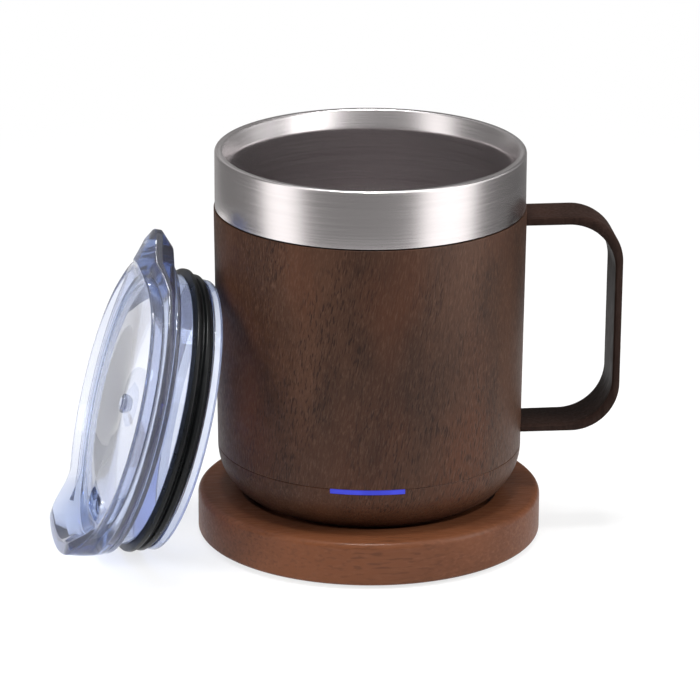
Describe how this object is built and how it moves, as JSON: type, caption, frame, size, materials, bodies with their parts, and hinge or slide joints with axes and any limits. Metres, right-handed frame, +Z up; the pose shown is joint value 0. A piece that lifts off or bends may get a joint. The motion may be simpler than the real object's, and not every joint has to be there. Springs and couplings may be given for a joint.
{
  "type": "self-heating mug",
  "caption": "Insulated heated mug with strip handle, steel rim band and wood-grain shell on a round charging coaster, with its clear gasketed lid leaning beside it.",
  "frame": {"origin": "on the table under the mug's axis, at the coaster's underside", "axes": "+Z up along the mug's axis, +X towards the handle, the coaster's power socket faces +Y"},
  "size_m": [0.1633, 0.0988, 0.114],
  "materials": {
    "brushed_steel": "horizontally brushed stainless steel",
    "wood_grain": "dark walnut wood-grain film, matt",
    "handle_coat": "dark walnut wood-effect coat on steel strip",
    "coaster_wood": "oiled walnut, satin",
    "black_rubber": "black silicone",
    "clear_plastic": "clear moulded plastic",
    "light_bar": "blue lit light guide",
    "led_white": "LED package",
    "black_plastic": "fine matt black",
    "board_green": "circuit board",
    "chip_black": "moulded chip",
    "contact_gold": "gold-plated brass",
    "screw_steel": "plated steel",
    "aluminium_plate": "rolled plate",
    "foil": "aluminium foil laminate",
    "heater_film": "amber heater film",
    "foam": "white insulation felt",
    "lead_red": "insulated lead"
  },
  "bodies": {
    "coaster": {"coaster_body": "coaster_wood", "coaster_insert": "black_plastic", "coaster_base": "black_plastic", "coaster_screws": "screw_steel", "coaster_pad": "black_rubber", "coaster_board": "board_green", "coaster_chips": "chip_black", "socket_shell": "screw_steel", "socket_core": "black_plastic", "pin_barrels": "contact_gold", "pin_spring_inner": "screw_steel", "pin_spring_outer": "screw_steel"},
    "mug": {"inner_cup": "brushed_steel", "outer_wall": "brushed_steel", "insulation_wrap": "foil", "wood_sleeve": "wood_grain", "seam_ring": "black_rubber", "handle": "handle_coat", "base_cap": "wood_grain", "base_seal": "black_rubber", "light_guide": "light_bar", "led_strip": "board_green", "leds": "led_white", "heat_spreader": "aluminium_plate", "heating_film": "heater_film", "thermistor": "chip_black", "insulation_pad": "foam", "heater_clamp": "screw_steel", "heater_studs": "screw_steel", "heater_nuts": "screw_steel", "heater_leads": "lead_red", "battery_cells": "foil", "battery_leads": "lead_red", "chassis": "black_plastic", "chassis_screws": "screw_steel", "control_board": "board_green", "board_chips": "chip_black", "button_switch": "black_plastic", "contact_ring_inner": "contact_gold", "contact_ring_outer": "contact_gold", "foot_ring": "black_rubber", "base_screws": "screw_steel"},
    "power_button": {"power_button": "black_plastic"},
    "contact_pin_inner": {"contact_pin_inner": "contact_gold"},
    "contact_pin_outer": {"contact_pin_outer": "contact_gold"},
    "lid": {"lid_body": "clear_plastic", "lid_gasket": "black_rubber", "lid_pivot": "clear_plastic"},
    "lid_cover": {"lid_cover": "clear_plastic"}
  },
  "joints": [
    {"name": "mug_lift", "type": "slide", "parent": "coaster", "child": "mug", "axis": [0, 0, 1], "range_m": [0, 0.06]},
    {"name": "power_button_press", "type": "slide", "parent": "mug", "child": "power_button", "axis": [0, 0, 1], "range_m": [0, 0.0004], "stiffness_N_per_m": 500},
    {"name": "inner_pin_press", "type": "slide", "parent": "coaster", "child": "contact_pin_inner", "axis": [0, 0, 1], "range_m": [-0.0006, 0], "stiffness_N_per_m": 300, "deforming": ["pin_spring_inner"]},
    {"name": "outer_pin_press", "type": "slide", "parent": "coaster", "child": "contact_pin_outer", "axis": [0, 0, 1], "range_m": [-0.0006, 0], "stiffness_N_per_m": 300, "deforming": ["pin_spring_outer"]},
    {"name": "lid_pull", "type": "slide", "parent": "coaster", "child": "lid", "axis": [-0.9581, -0.0939, 0.2706], "range_m": [0, 0.08]},
    {"name": "lid_cover_turn", "type": "hinge", "parent": "lid", "child": "lid_cover", "pos_m": [-0.05462, -0.00536, 0.03813], "axis": [-0.9581, -0.0939, 0.2706], "range_deg": [0, 90]}
  ]
}
